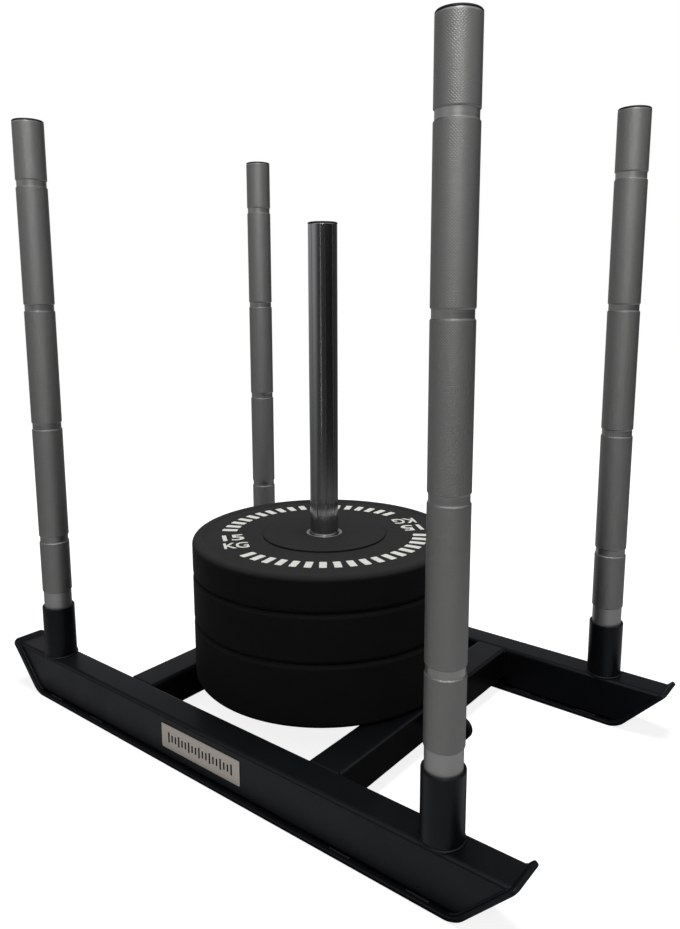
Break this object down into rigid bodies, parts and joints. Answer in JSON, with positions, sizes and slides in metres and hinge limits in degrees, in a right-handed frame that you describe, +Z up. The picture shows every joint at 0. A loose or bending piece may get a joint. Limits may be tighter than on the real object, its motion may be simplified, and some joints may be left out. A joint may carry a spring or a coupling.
{
  "type": "weight sled",
  "caption": "Push and pull weight sled with skid runners, a loading pin carrying rubber bumper plates, and knurled push poles in corner sockets.",
  "frame": {"origin": "on the floor, at the centre of the bounding box's base, under the loading pin's axis", "axes": "+X along the runners towards the tow lug, +Y from the near runner to the far runner, +Z up along the loading pin"},
  "size_m": [1.0326, 0.599, 1.0043],
  "materials": {
    "frame_paint": "satin black powder coat",
    "skid_paint": "satin black powder coat on flat bar",
    "pin_chrome": "polished chrome",
    "pole_metal": "dull chrome with fine knurling",
    "plate_rubber": "moulded matt rubber",
    "bush_steel": "turned steel",
    "plug_plastic": "moulded black plastic"
  },
  "bodies": {
    "frame": {"runner_tube_near": "frame_paint", "runner_tube_far": "frame_paint", "skid_shoe_near": "skid_paint", "skid_shoe_far": "skid_paint", "cross_tube_front": "frame_paint", "cross_tube_rear": "frame_paint", "centre_beam": "frame_paint", "tow_lug": "frame_paint", "weight_pin": "pin_chrome", "pin_cap": "plug_plastic", "pole_socket_near_front": "frame_paint", "pole_socket_near_rear": "frame_paint", "pole_socket_far_front": "frame_paint", "pole_socket_far_rear": "frame_paint"},
    "plate_lower": {"bumper_plate_lower": "plate_rubber", "hub_bush_lower": "bush_steel"},
    "plate_middle": {"bumper_plate_middle": "plate_rubber", "hub_bush_middle": "bush_steel"},
    "plate_upper": {"bumper_plate_upper": "plate_rubber", "hub_bush_upper": "bush_steel"},
    "pole_near_front": {"push_pole_near_front": "pole_metal", "pole_cap_near_front": "plug_plastic"},
    "pole_near_rear": {"push_pole_near_rear": "pole_metal", "pole_cap_near_rear": "plug_plastic"},
    "pole_far_front": {"push_pole_far_front": "pole_metal", "pole_cap_far_front": "plug_plastic"},
    "pole_far_rear": {"push_pole_far_rear": "pole_metal", "pole_cap_far_rear": "plug_plastic"}
  },
  "joints": [
    {"name": "lower_plate_lift", "type": "slide", "parent": "frame", "child": "plate_lower", "axis": [0, 0, 1], "range_m": [0, 0.765]},
    {"name": "middle_plate_lift", "type": "slide", "parent": "plate_lower", "child": "plate_middle", "axis": [0, 0, 1], "range_m": [0, 0.665]},
    {"name": "upper_plate_lift", "type": "slide", "parent": "plate_middle", "child": "plate_upper", "axis": [0, 0, 1], "range_m": [0, 0.585]},
    {"name": "pole_near_front_lift", "type": "slide", "parent": "frame", "child": "pole_near_front", "axis": [0, 0, 1], "range_m": [0, 0.1]},
    {"name": "pole_near_rear_lift", "type": "slide", "parent": "frame", "child": "pole_near_rear", "axis": [0, 0, 1], "range_m": [0, 0.1]},
    {"name": "pole_far_front_lift", "type": "slide", "parent": "frame", "child": "pole_far_front", "axis": [0, 0, 1], "range_m": [0, 0.1]},
    {"name": "pole_far_rear_lift", "type": "slide", "parent": "frame", "child": "pole_far_rear", "axis": [0, 0, 1], "range_m": [0, 0.1]}
  ]
}
